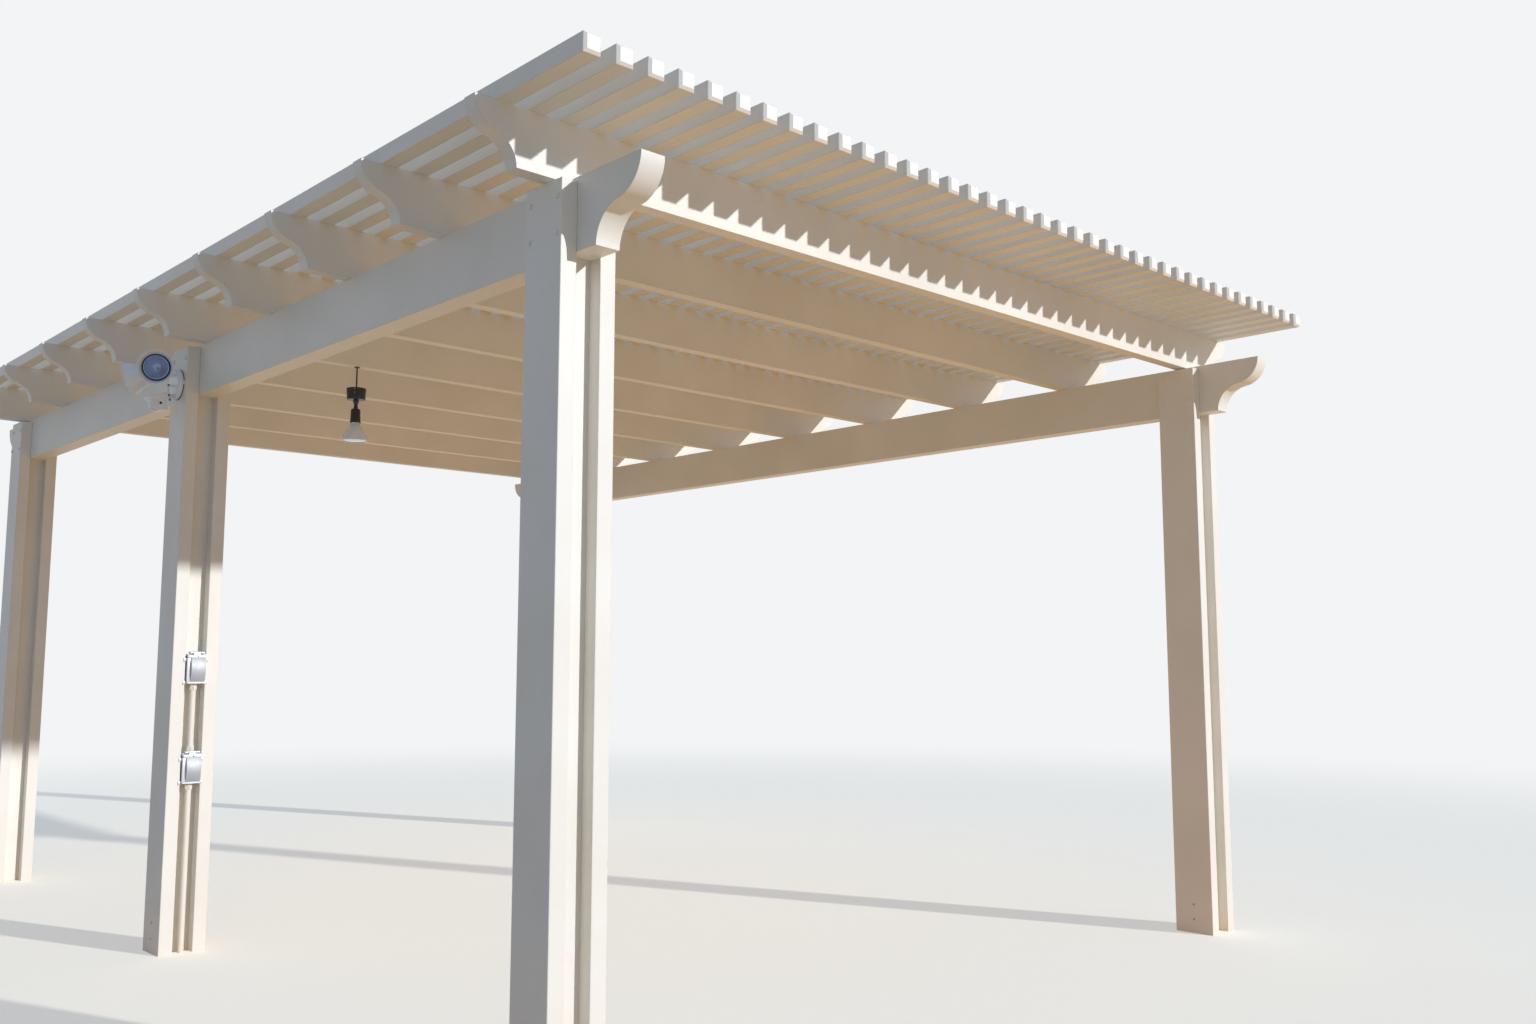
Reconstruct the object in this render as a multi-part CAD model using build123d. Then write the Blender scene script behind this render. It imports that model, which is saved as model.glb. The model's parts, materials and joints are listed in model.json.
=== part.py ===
from build123d import *
import math
import os

# Free-standing pergola in painted aluminium: two rows of posts carry two deep
# headers, scroll-ended rafters cross them, and square lattice tubes lie on top.
# The origin is on the ground at the middle of the footprint, X runs along the
# headers, Y along the rafters and Z is up. All lengths are in millimetres.

# Posts: a square core between two side plates
post_height = 2362.2
plate_width = 165.1
plate_thickness = 50.8
plate_corner = 3.0
core_size = 76.2
row_spacing = 3251.2
middle_post_offset = -133.35

# Headers: one deep beam in each row, standing a little above the plates
header_depth = 203.2
header_rise = 12.7
header_overhang = 266.7
header_scroll = 184.15

# Rafters: one over each end post and the rest evenly between
rafter_count = 9
rafter_spacing = 609.6
rafter_width = 50.8
rafter_depth = 165.1
rafter_overhang = 228.6
rafter_scroll = 127.0

# Lattice: square tubes with bevelled end caps, in three sections
tube_size = 50.8
tube_count = 39
tube_margin = 63.5
lattice_overhang = 406.4
cap_flange = 3.0
cap_bevel = 8.0
lattice_sections = ["front", "middle", "rear"]

# Fits of the moving pieces
running_gap = 0.3
pin_clearance = 0.08

# Flood light on the front middle post
flood_drop = 146.0
canopy_diameter = 120.65
canopy_depth = 20.0
canopy_edge = 5.0
arm_spread = 26.0
arm_rise = 46.0
arm_reach = 87.0
arm_diameter = 18.0
knuckle_diameter = 30.0
knuckle_thickness = 9.0
knuckle_pin = 8.0
pin_head_diameter = 14.0
pin_head_thickness = 4.0
neck_diameter = 38.0
neck_start = 18.0
bell_start = 34.0
bell_mouth = 100.0
bell_diameter = 132.0
bell_shoulder = 76.0
bell_wall = 2.5
socket_depth = 10.0
lamp_diameter = 95.0
lamp_rim = 9.0
lamp_setback = 22.0
lamp_base_diameter = 27.0
head_turn = {"right": -27.0, "left": -133.0}
head_tilt = {"right": -6.0, "left": -18.0}

# Motion sensor under the flood light
sensor_drop = 48.0
sensor_reach = 38.0
sensor_disc = 20.0
sensor_plate = 6.0
sensor_pin = 5.0
sensor_neck = 2.0
sensor_length = 74.0
sensor_width = 56.0
hood_height = 22.0
hood_nose = 10.0
lens_height = 46.0
lens_setback = 8.0
lens_chin = 24.0
lens_heel = 6.0
sensor_tilt = -15.0
web_overlap = 1.0

# Weatherproof outlets in the recess of the front middle post
outlet_heights = {"upper": 1085.0, "lower": 700.0}
box_width = 70.0
box_height = 114.0
box_depth = 50.8
box_wall = 3.0
box_corner = 4.0
device_width = 33.0
device_height = 68.0
device_recess = 4.0
lid_width = 72.0
lid_height = 112.0
lid_depth = 17.0
lid_wall = 2.0
lid_crown = 5.0
hinge_diameter = 9.0
hinge_pin = 4.0
hinge_middle = 30.0
hinge_end = 12.0
hinge_foot = 12.0
lid_tab_width = 24.0
lid_tab_height = 3.0
lid_tab_depth = 8.0
conduit_diameter = 21.3
fitting_diameter = 30.0
fitting_length = 26.0

# Lamp hung on a slim rod from the middle rafter
pendant_y = -1020.0
rod_diameter = 6.35
rod_length = 94.0
rod_plate_diameter = 24.0
rod_plate_thickness = 3.0
drum_diameter = 82.0
drum_height = 50.0
stem_diameter = 17.0
stem_height = 40.0
stem_collar = 23.0
stem_collar_height = 16.0
holder_diameter = 41.0
holder_height = 60.0
holder_lip = 46.0
holder_lip_height = 7.0
hung_lamp_diameter = 108.0
hung_lamp_height = 80.0
hung_lamp_rim = 10.0
hung_lamp_neck = 36.0
hung_lamp_base = 2.0

# Worked-out places
post_depth = core_size + 2 * plate_thickness
header_top = post_height + header_rise
header_bottom = header_top - header_depth
rafter_top = header_top + rafter_depth
post_span = rafter_spacing * (rafter_count - 1)
header_length = post_span + plate_width + 2 * header_overhang
rafter_length = row_spacing + post_depth + 2 * rafter_overhang
lattice_length = post_span + 2 * lattice_overhang
tube_length = lattice_length - 2 * (cap_flange + cap_bevel)
tube_first = -rafter_length / 2 + tube_margin + tube_size / 2
tube_pitch = -2 * tube_first / (tube_count - 1)
plate_offset = (core_size + plate_thickness) / 2
row_y = row_spacing / 2
end_x = post_span / 2
post_face = -row_y - post_depth / 2
hinge_x = box_depth + running_gap + hinge_diameter / 2
hinge_z = (box_height + hinge_diameter) / 2
lid_back = box_depth + running_gap
drum_top = header_top - rod_length
holder_top = drum_top - drum_height - stem_height

posts = {
    "front_right": (end_x, -row_y),
    "front_middle": (middle_post_offset, -row_y),
    "front_left": (-end_x, -row_y),
    "rear_right": (end_x, row_y),
    "rear_left": (-end_x, row_y),
}

standing = (Align.CENTER, Align.CENTER, Align.MIN)


def save(shape, name):
    export_step(shape, f"parts/{name}.step")


def upright(width, depth, height, x, y, z=0.0):
    """A box standing on height z with its middle over x, y."""
    return Pos(x, y, z) * Box(width, depth, height, align=standing)


def barrel(diameter, start, end):
    """A cylinder along Y from start to end."""
    place = Pos(0, (start + end) / 2, 0) * Rot(90, 0, 0)
    return place * Cylinder(diameter / 2, end - start)


def hexagon(diameter, length):
    """A hexagonal bar standing on its end, with its corners on the diameter."""
    return extrude(RegularPolygon(diameter / 2, 6), length)


def faced(shape, facing):
    """The hinge pieces as drawn, with the fixed disc at -Y, or mirrored for an arm at +Y."""
    return shape if facing < 0 else mirror(shape, about=Plane.XZ)


def side_plate(x, y):
    plate = upright(plate_width, plate_thickness, post_height, x, y)
    return fillet(plate.edges().filter_by(Axis.Z), plate_corner)


def scroll_beam(length, depth, thickness, scroll):
    """A beam along X, hung below its top face, with an S scroll at each end.

    Two equal arcs run from the tip of the top to the bottom, and are upright at both ends.
    """
    sweep = 2 * math.atan2(scroll, depth)
    radius = depth / (2 * math.sin(sweep))
    turn = math.degrees(sweep)
    tip = length / 2
    heel = tip - scroll
    right = [
        CenterArc((tip - radius, 0), radius, 0, -turn),
        CenterArc((heel + radius, -depth), radius, 180, -turn),
    ]
    left = [mirror(edge, about=Plane.YZ) for edge in right]
    top = Line((-tip, 0), (tip, 0))
    bottom = Line((-heel, -depth), (heel, -depth))
    face = make_face([top, bottom, *right, *left])
    return extrude(Plane.XZ * face, thickness / 2, both=True)


def header(y):
    beam = scroll_beam(header_length, header_depth, core_size, header_scroll)
    return Pos(0, y, header_top) * beam


def rafter(x):
    beam = scroll_beam(rafter_length, rafter_depth, rafter_width, rafter_scroll)
    return Pos(x, 0, rafter_top) * Rot(0, 0, 90) * beam


def section_rows(section):
    rows = [tube_first + index * tube_pitch for index in range(tube_count)]
    share = math.ceil(tube_count / len(lattice_sections))
    start = lattice_sections.index(section) * share
    return rows[start:start + share]


def lattice_tube(y):
    return upright(tube_length, tube_size, tube_size, 0, y, rafter_top)


def end_cap(y, side):
    """A flange against the tube end with a bevelled raised face."""
    against = (Align.MIN, Align.CENTER, Align.CENTER)
    flange = Box(cap_flange, tube_size, tube_size, align=against)
    raised = Pos(cap_flange, 0, 0) * Box(cap_bevel, tube_size, tube_size, align=against)
    cap = flange + chamfer(raised.edges().group_by(Axis.X)[-1], 0.9 * cap_bevel)
    cap = Pos(tube_length / 2, 0, 0) * cap
    if side < 0:
        cap = Rot(0, 0, 180) * cap
    return Pos(0, y, rafter_top + tube_size / 2) * cap


# Flood light: the canopy carries two arms, and each head turns on its arm's pin
flood_centre = Pos(middle_post_offset, post_face, post_height - flood_drop)
head_facing = {"right": 1, "left": -1}


def head_knuckle(side):
    spread = head_facing[side] * arm_spread
    return flood_centre * Pos(spread, -arm_reach, arm_rise) * Rot(0, 0, head_turn[side])


def fixed_knuckle(disc, thickness, pin):
    """A fixed disc at -Y with the pin and its hexagonal head that hold the moving disc."""
    inner = running_gap / 2
    tip = inner + thickness + running_gap
    knuckle = barrel(disc, -inner - thickness, -inner)
    knuckle += barrel(pin, -inner - thickness, tip)
    return knuckle + Pos(0, tip, 0) * Rot(-90, 0, 0) * hexagon(pin_head_diameter, pin_head_thickness)


def moving_disc(disc, thickness, pin):
    """A disc at +Y with a bore for the pin."""
    inner = running_gap / 2
    outer = inner + thickness
    return barrel(disc, inner, outer) - barrel(pin + 2 * pin_clearance, inner, outer)


def flood_arm(side):
    """A round arm from the canopy to the back of the fixed disc."""
    facing = head_facing[side]
    disc_middle = facing * (running_gap + knuckle_thickness) / 2
    seat = (head_knuckle(side) * Pos(0, disc_middle, 0)).position
    root = (flood_centre * Pos(facing * arm_spread, -canopy_depth / 2, arm_rise)).position
    reach = seat - root
    arm = extrude(Plane(root, z_dir=reach) * Circle(arm_diameter / 2), reach.length)
    room = barrel(2 * knuckle_diameter, -running_gap / 2, arm_reach / 2)
    return arm - head_knuckle(side) * faced(room, facing)


def sensor_knuckle():
    return flood_centre * Pos(0, -sensor_reach, -sensor_drop) * Rot(0, 0, -90)


def flood_base():
    """The round canopy with its arms and the bracket for the sensor."""
    disc = barrel(canopy_diameter, -canopy_depth, 0)
    disc = chamfer(disc.edges().group_by(Axis.Y)[0], canopy_edge)
    base = flood_centre * disc
    for side, facing in head_facing.items():
        knuckle = fixed_knuckle(knuckle_diameter, knuckle_thickness, knuckle_pin)
        base += flood_arm(side)
        base += head_knuckle(side) * faced(knuckle, facing)
    bracket_middle = -(running_gap + sensor_plate) / 2
    bracket = Box(sensor_reach, sensor_plate, sensor_disc, align=(Align.MAX, Align.CENTER, Align.CENTER))
    base += sensor_knuckle() * Pos(0, bracket_middle, 0) * bracket
    base += sensor_knuckle() * fixed_knuckle(sensor_disc, sensor_plate, sensor_pin)
    return base


def flood_head(side):
    """A flared bell with a flat shoulder on a neck, and a disc that turns on the arm's pin."""
    neck = neck_diameter / 2
    shoulder = bell_shoulder / 2
    mouth = bell_diameter / 2
    seat = bell_start - socket_depth
    back = bell_start + bell_wall
    bore = lamp_base_diameter / 2 + running_gap
    outline = Polyline(
        (neck_start, 0),
        (neck_start, neck),
        (bell_start, neck),
        (bell_start, shoulder),
        (bell_mouth, mouth),
        (bell_mouth, mouth - bell_wall),
        (back, shoulder - bell_wall),
        (back, bore),
        (seat, bore),
        (seat, 0),
        close=True,
    )
    shell = revolve(make_face(outline), Axis.X)
    disc = moving_disc(knuckle_diameter, knuckle_thickness, knuckle_pin)
    web_length = neck_start + web_overlap - knuckle_pin
    web_middle = (running_gap + knuckle_thickness) / 2
    web = Box(web_length, knuckle_thickness, 0.8 * knuckle_diameter)
    web = Pos(knuckle_pin + web_length / 2, web_middle, 0) * web
    knuckle = faced(disc + web, head_facing[side])
    return head_knuckle(side) * Rot(0, -head_tilt[side], 0) * (knuckle + shell)


def reflector_lamp(base_diameter, base_length, rim_diameter, rim_width, length):
    """A sealed reflector lamp along X, from the end of its base to its front."""
    rim = rim_diameter / 2
    base = base_diameter / 2
    outline = Polyline(
        (0, 0),
        (0, base),
        (base_length, base),
        (length - rim_width, rim),
        (length, rim),
        (length, 0),
        close=True,
    )
    return revolve(make_face(outline), Axis.X)


def flood_lamp(side):
    seat = bell_start - socket_depth
    length = bell_mouth - lamp_setback - seat
    lamp = reflector_lamp(lamp_base_diameter, 1.4 * socket_depth, lamp_diameter, lamp_rim, length)
    return head_knuckle(side) * Rot(0, -head_tilt[side], 0) * Pos(seat, 0, 0) * lamp


def motion_sensor():
    """A hooded sensor head that tilts on the bracket under the canopy.

    The hood has a round nose, and the lens housing below it a deep round chin.
    """
    disc = moving_disc(sensor_disc, sensor_plate, sensor_pin)
    middle = (running_gap + sensor_plate) / 2
    start = sensor_disc / 2 + running_gap + sensor_neck
    web_length = start + web_overlap - sensor_pin
    web = Box(web_length, sensor_plate, sensor_disc / 2, align=(Align.MIN, Align.CENTER, Align.CENTER))
    web = Pos(sensor_pin, middle, 0) * web
    hood = Rectangle(sensor_length, hood_height, align=(Align.MIN, Align.CENTER))
    hood = fillet(hood.vertices().group_by(Axis.X)[-1], hood_nose)
    hood = extrude(Plane.XZ * hood, sensor_width / 2, both=True)
    lens = Rectangle(sensor_length - 2 * lens_setback, lens_height, align=(Align.MIN, Align.MAX))
    chin = lens.vertices().group_by(Axis.Y)[0].sort_by(Axis.X)[-1]
    lens = fillet(chin, lens_chin)
    heel = lens.vertices().group_by(Axis.Y)[0].sort_by(Axis.X)[0]
    lens = fillet(heel, lens_heel)
    lens = extrude(Plane.XZ * lens, sensor_width / 2 - lens_setback, both=True)
    head = Pos(start, middle, 0) * (hood + Pos(lens_setback, 0, -hood_height / 2) * lens)
    return sensor_knuckle() * Rot(0, -sensor_tilt, 0) * (disc + web + head)


# Outlets: local X points out of the recess and the back of the box is on the core
outward = (Align.MIN, Align.CENTER, Align.CENTER)


def outlet_place(level):
    return Pos(middle_post_offset + core_size / 2, -row_y, outlet_heights[level])


def outlet_box(level):
    """A cast box with a receptacle face in its mouth and two hinge ears on top."""
    box = Box(box_depth, box_width, box_height, align=outward)
    box = fillet(box.edges().filter_by(Axis.X), box_corner)
    mouth_size = (device_recess, box_width - 2 * box_wall, box_height - 2 * box_wall)
    box -= Pos(box_depth - device_recess, 0, 0) * Box(*mouth_size, align=outward)
    device = Box(device_recess, device_width, device_height, align=outward)
    box += Pos(box_depth - device_recess, 0, 0) * device
    ear_start = hinge_middle / 2 + running_gap
    foot_length = hinge_foot + hinge_x - box_depth
    foot = Box(foot_length, hinge_end, hinge_diameter, align=(Align.MAX, Align.MIN, Align.CENTER))
    ear = barrel(hinge_diameter, ear_start, ear_start + hinge_end) + Pos(0, ear_start, 0) * foot
    pin = barrel(hinge_pin, -ear_start - 1, ear_start + 1)
    hinge = ear + mirror(ear, about=Plane.XZ) + pin
    return outlet_place(level) * (box + Pos(hinge_x, 0, hinge_z) * hinge)


def lid_profile(inset):
    """The bowed side view of the lid in the X-Z plane, moved inwards by the wall."""
    half = lid_height / 2 - inset
    rim = lid_depth - lid_crown - inset
    outline = [
        Line((0, -half), (rim, -half)),
        ThreePointArc((rim, -half), (lid_depth - inset, 0), (rim, half)),
        Line((rim, half), (0, half)),
        Line((0, half), (0, -half)),
    ]
    return extrude(Plane.XZ * make_face(outline), lid_width / 2 - inset, both=True)


def outlet_lid(level):
    """A bowed lid that lifts on the hinge above the box."""
    lid = lid_profile(0) - lid_profile(lid_wall)
    tab = Box(lid_tab_depth, lid_tab_width, lid_tab_height, align=(Align.MIN, Align.CENTER, Align.MAX))
    lid += Pos(0, 0, -lid_height / 2) * tab
    strap_height = hinge_z - lid_height / 2 + lid_wall
    strap = Box(hinge_diameter, hinge_middle, strap_height, align=(Align.MIN, Align.CENTER, Align.MAX))
    lid += Pos(0, 0, hinge_z) * strap
    knuckle = barrel(hinge_diameter, -hinge_middle / 2, hinge_middle / 2)
    bore = barrel(hinge_pin + 2 * pin_clearance, -hinge_middle / 2, hinge_middle / 2)
    hinge = Pos(hinge_diameter / 2, 0, hinge_z)
    lid = lid + hinge * knuckle - hinge * bore
    return outlet_place(level) * Pos(lid_back, 0, 0) * lid


def conduit(bottom, top, fittings):
    """An upright conduit with a hexagonal fitting at each box that it enters."""
    x = middle_post_offset + core_size / 2 + box_depth / 2
    run = Pos(x, -row_y, bottom) * Cylinder(conduit_diameter / 2, top - bottom, align=standing)
    for start in fittings:
        run += Pos(x, -row_y, start) * hexagon(fitting_diameter, fitting_length)
    return run


def conduits():
    low_bottom = outlet_heights["lower"] - box_height / 2
    low_top = outlet_heights["lower"] + box_height / 2
    high_bottom = outlet_heights["upper"] - box_height / 2
    low = conduit(0, low_bottom, [low_bottom - fitting_length])
    high = conduit(low_top, high_bottom, [low_top, high_bottom - fitting_length])
    return Compound(children=[low, high])


# Hung lamp: the pieces stand one under the other on the rod's line
def hung(height):
    return Pos(0, pendant_y, height)


def hung_rod():
    rod = Cylinder(rod_diameter / 2, rod_length, align=standing)
    plate = Cylinder(rod_plate_diameter / 2, rod_plate_thickness, align=standing)
    return hung(drum_top) * (rod + Pos(0, 0, rod_length - rod_plate_thickness) * plate)


def hung_drum():
    """The round box on the rod with a collar and a stem below it."""
    drum = Cylinder(drum_diameter / 2, drum_height, align=standing)
    collar = Cylinder(stem_collar / 2, stem_collar_height, align=standing)
    stem = Cylinder(stem_diameter / 2, stem_height, align=standing)
    drum += Pos(0, 0, -stem_collar_height) * collar + Pos(0, 0, -stem_height) * stem
    return hung(drum_top - drum_height) * drum


def hung_holder():
    """The lamp holder with a lip round its mouth."""
    holder = Cylinder(holder_diameter / 2, holder_height, align=standing)
    holder += Cylinder(holder_lip / 2, holder_lip_height, align=standing)
    return hung(holder_top - holder_height) * holder


def hung_lamp():
    sizes = (hung_lamp_neck, hung_lamp_base, hung_lamp_diameter, hung_lamp_rim, hung_lamp_height)
    lamp = reflector_lamp(*sizes)
    return hung(holder_top - holder_height) * Rot(0, 90, 0) * lamp


os.makedirs("parts", exist_ok=True)

for name, (x, y) in posts.items():
    outward_side = -1 if y < 0 else 1
    save(side_plate(x, y + outward_side * plate_offset), f"post_{name}_outer_plate")
    save(side_plate(x, y - outward_side * plate_offset), f"post_{name}_inner_plate")
    save(upright(core_size, core_size, header_bottom, x, y), f"post_{name}_core")

save(header(-row_y), "header_front")
save(header(row_y), "header_rear")

for index in range(rafter_count):
    save(rafter(end_x - index * rafter_spacing), f"rafter_{index + 1}")

for section in lattice_sections:
    tubes = [lattice_tube(y) for y in section_rows(section)]
    save(Compound(children=tubes), f"lattice_tubes_{section}")

for side, sign in {"right": 1, "left": -1}.items():
    caps = [end_cap(tube_first + index * tube_pitch, sign) for index in range(tube_count)]
    save(Compound(children=caps), f"lattice_caps_{side}")

save(flood_base(), "flood_base")
for side in head_facing:
    save(flood_head(side), f"flood_head_{side}")
    save(flood_lamp(side), f"flood_lamp_{side}")
save(motion_sensor(), "motion_sensor")

for level in outlet_heights:
    save(outlet_box(level), f"outlet_box_{level}")
    save(outlet_lid(level), f"outlet_lid_{level}")
save(conduits(), "outlet_conduit")

save(hung_rod(), "pendant_rod")
save(hung_drum(), "pendant_drum")
save(hung_holder(), "pendant_holder")
save(hung_lamp(), "pendant_lamp")
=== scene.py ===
import json
import math

import bmesh
import bpy
from mathutils import Matrix, Vector


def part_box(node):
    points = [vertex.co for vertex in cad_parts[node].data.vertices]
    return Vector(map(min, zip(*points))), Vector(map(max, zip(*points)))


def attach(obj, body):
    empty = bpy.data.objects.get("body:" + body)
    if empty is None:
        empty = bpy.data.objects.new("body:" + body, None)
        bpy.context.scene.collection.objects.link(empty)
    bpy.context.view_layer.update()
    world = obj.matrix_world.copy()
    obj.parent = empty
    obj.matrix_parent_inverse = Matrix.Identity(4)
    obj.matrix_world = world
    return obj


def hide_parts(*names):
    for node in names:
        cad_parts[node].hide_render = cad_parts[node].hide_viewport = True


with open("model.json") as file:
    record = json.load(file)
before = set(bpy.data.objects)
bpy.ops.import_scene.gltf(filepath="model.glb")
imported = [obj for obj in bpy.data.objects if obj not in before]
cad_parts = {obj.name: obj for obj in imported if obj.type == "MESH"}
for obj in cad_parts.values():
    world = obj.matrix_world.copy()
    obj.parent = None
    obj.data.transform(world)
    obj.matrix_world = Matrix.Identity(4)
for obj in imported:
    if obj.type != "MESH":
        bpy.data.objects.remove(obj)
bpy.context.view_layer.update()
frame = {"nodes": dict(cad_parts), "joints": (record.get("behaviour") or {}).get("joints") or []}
nodes = frame["nodes"]
joints = {joint["name"]: joint for joint in frame["joints"]}
millimetre = 0.001
print("frame loaded:", len(nodes), "nodes")

# Selecting and edit mode


def selectOnly(*pieces):
    bpy.ops.object.select_all(action="DESELECT")
    for piece in pieces:
        piece.select_set(True)
    bpy.context.view_layer.objects.active = pieces[0]


def editFaces(piece, wanted):
    # opens edit mode with only the wanted faces selected
    selectOnly(piece)
    bpy.ops.object.mode_set(mode="EDIT")
    bpy.ops.mesh.select_mode(type="FACE")
    mesh = bmesh.from_edit_mesh(piece.data)
    for face in mesh.faces:
        face.select_set(wanted(face))
    bmesh.update_edit_mesh(piece.data)


def objectMode():
    bpy.ops.object.mode_set(mode="OBJECT")


# Materials


def hexColour(text):
    # an sRGB hex value as linear colour
    parts = [int(text[i:i + 2], 16) / 255 for i in (0, 2, 4)]
    linear = [part / 12.92 if part <= 0.04045 else ((part + 0.055) / 1.055) ** 2.4 for part in parts]
    return (*linear, 1)


def addNode(tree, kind, settings=None, **links):
    # a shader node with its settings, and a link or value for each named or numbered input
    node = tree.nodes.new(kind)
    for key, value in (settings or {}).items():
        setattr(node, key, value)
    for key, value in links.items():
        numbered = key[0] == "i" and key[1:].isdigit()
        socket = node.inputs[int(key[1:])] if numbered else node.inputs[key.replace("_", " ")]
        if isinstance(value, bpy.types.NodeSocket):
            tree.links.new(value, socket)
        else:
            socket.default_value = value
    return node


def newMaterial(name):
    # a material, its node tree, its shader and the coordinates of the object it is on
    material = bpy.data.materials.new(name)
    material.use_nodes = True
    tree = material.node_tree
    place = addNode(tree, "ShaderNodeTexCoord").outputs["Object"]
    return material, tree, tree.nodes["Principled BSDF"], place


def scaleOf(size):
    # the scale of a noise pattern about this wide, in mm
    return 1 / (size * millimetre)


def addNoise(tree, place, size, detail):
    return addNode(tree, "ShaderNodeTexNoise", Vector=place, Scale=scaleOf(size), Detail=detail).outputs[0]


def mapped(tree, value, before, after=(0.0, 1.0), settings=None):
    # a value taken from one range to another
    ranges = {"From_Min": before[0], "From_Max": before[1], "To_Min": after[0], "To_Max": after[1]}
    return addNode(tree, "ShaderNodeMapRange", settings, Value=value, **ranges).outputs[0]


def mixColours(tree, share, first, second):
    # from the first colour to the second
    return addNode(tree, "ShaderNodeMix", {"data_type": "RGBA"}, Factor=share, i6=first, i7=second).outputs[2]


def addBump(tree, shader, height, strength, depth, **normal):
    rise = depth * millimetre
    bump = addNode(tree, "ShaderNodeBump", Height=height, Strength=strength, Distance=rise, **normal)
    tree.links.new(bump.outputs[0], shader.inputs["Normal"])


def addSoftEdge(tree, radius):
    return addNode(tree, "ShaderNodeBevel", {"samples": 4}, Radius=radius * millimetre).outputs[0]


paint = {
    "ivory": "EDE9E0",             # the coat as it was sprayed
    "chalked": "E6E1D6",           # where sun has dulled it
    "grime": "B3AB9C",             # dust that rain leaves near edges
    "grainWidth": 1.4,             # mm across: coarser than the real embossed grain, which would flicker
    "grainLength": 40.0,           # mm along the extrusion
    "grainDepth": 0.03,
    "grainStrength": 0.3,
    "cloudSize": 420.0,            # slow change from fresh to chalked paint, mm
    "cloudRange": (0.35, 0.68),
    "speckSize": 9.0,              # specks of dust, mm
    "speckRange": (0.6, 0.9),
    "speckShare": 0.2,
    "edge": 2.0,                   # width of the dusty edges, mm
    "edgeRange": (0.995, 0.93),    # cosine between the softened normal and the plain one
    "edgeShare": 0.16,
    "roughness": (0.38, 0.56),
}
fitting = {
    "roughness": (0.8, 1.2),       # shares of the finish's own roughness
    "edge": 0.8,
    "bumpStrength": 0.15,
}
pressed = {
    "ripple": 18.0,                # slow ripple from the mould, mm across
    "rippleDepth": 0.3,
    "rippleStrength": 0.05,
    "roughness": (0.6, 1.4),       # shares of the glass's own roughness
    "refraction": 1.47,
}
noiseRange = (0.0, 1.0)


def paintedAluminium(name, along):
    # baked ivory enamel on roll-formed aluminium: a smooth satin coat, a faint grain along the length
    material, tree, shader, place = newMaterial(name)
    stretch = [scaleOf(paint["grainWidth"])] * 3
    stretch[along] = scaleOf(paint["grainLength"])
    grainPlace = addNode(tree, "ShaderNodeMapping", Vector=place, Scale=stretch).outputs[0]
    grain = addNode(tree, "ShaderNodeTexNoise", Vector=grainPlace, Scale=1.0, Detail=3.0).outputs[0]
    cloud = addNoise(tree, place, paint["cloudSize"], 4.0)
    speck = addNoise(tree, place, paint["speckSize"], 5.0)
    chalk = mapped(tree, cloud, paint["cloudRange"])
    coat = mixColours(tree, chalk, hexColour(paint["ivory"]), hexColour(paint["chalked"]))
    dust = mapped(tree, speck, paint["speckRange"], (0.0, paint["speckShare"]))
    dusty = mixColours(tree, dust, coat, hexColour(paint["grime"]))
    soft = addSoftEdge(tree, paint["edge"])
    plain = addNode(tree, "ShaderNodeNewGeometry").outputs["Normal"]
    turn = addNode(tree, "ShaderNodeVectorMath", {"operation": "DOT_PRODUCT"}, i0=soft, i1=plain)
    worn = mapped(tree, turn.outputs["Value"], paint["edgeRange"], (0.0, paint["edgeShare"]))
    rubbed = mixColours(tree, worn, dusty, hexColour(paint["grime"]))
    tree.links.new(rubbed, shader.inputs["Base Color"])
    tree.links.new(mapped(tree, speck, noiseRange, paint["roughness"]), shader.inputs["Roughness"])
    addBump(tree, shader, grain, paint["grainStrength"], paint["grainDepth"], Normal=soft)
    return material


def fittingFinish(name, colour, roughness, metallic=0.0, speckle=6.0, spread=0.1, bumpDepth=0.1, coat=0.0):
    # a moulded, cast or sprayed finish: a little change of colour, uneven gloss and a fine bump
    material, tree, shader, place = newMaterial(name)
    speck = addNoise(tree, place, speckle, 4.0)
    base = Vector(hexColour(colour)[:3])
    mixed = mixColours(tree, speck, (*(base * (1 - spread)), 1), (*(base * (1 + spread)), 1))
    tree.links.new(mixed, shader.inputs["Base Color"])
    rough = mapped(tree, speck, noiseRange, [roughness * share for share in fitting["roughness"]])
    tree.links.new(rough, shader.inputs["Roughness"])
    soft = addSoftEdge(tree, fitting["edge"])
    addBump(tree, shader, speck, fitting["bumpStrength"], bumpDepth, Normal=soft)
    shader.inputs["Metallic"].default_value = metallic
    shader.inputs["Coat Weight"].default_value = coat
    return material


def pressedGlass(name, colour, clearness, roughness):
    # borosilicate pressed in a mould: glossy, with a slow ripple
    material, tree, shader, place = newMaterial(name)
    ripple = addNoise(tree, place, pressed["ripple"], 2.0)
    rough = mapped(tree, ripple, noiseRange, [roughness * share for share in pressed["roughness"]])
    tree.links.new(rough, shader.inputs["Roughness"])
    addBump(tree, shader, ripple, pressed["rippleStrength"], pressed["rippleDepth"])
    shader.inputs["Base Color"].default_value = hexColour(colour)
    shader.inputs["Transmission Weight"].default_value = clearness
    shader.inputs["IOR"].default_value = pressed["refraction"]
    return material


alongX = paintedAluminium("baked_enamel_along_x", 0)
alongY = paintedAluminium("baked_enamel_along_y", 1)
alongZ = paintedAluminium("baked_enamel_along_z", 2)
# moulded vinyl: whiter and smoother than the enamel
capVinyl = fittingFinish("moulded_vinyl_cap", "F4F1EA", 0.42, spread=0.03)
# die-cast aluminium under a cool white satin paint
fixtureWhite = fittingFinish("die_cast_white_paint", "EFF3F8", 0.34, spread=0.03)
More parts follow.
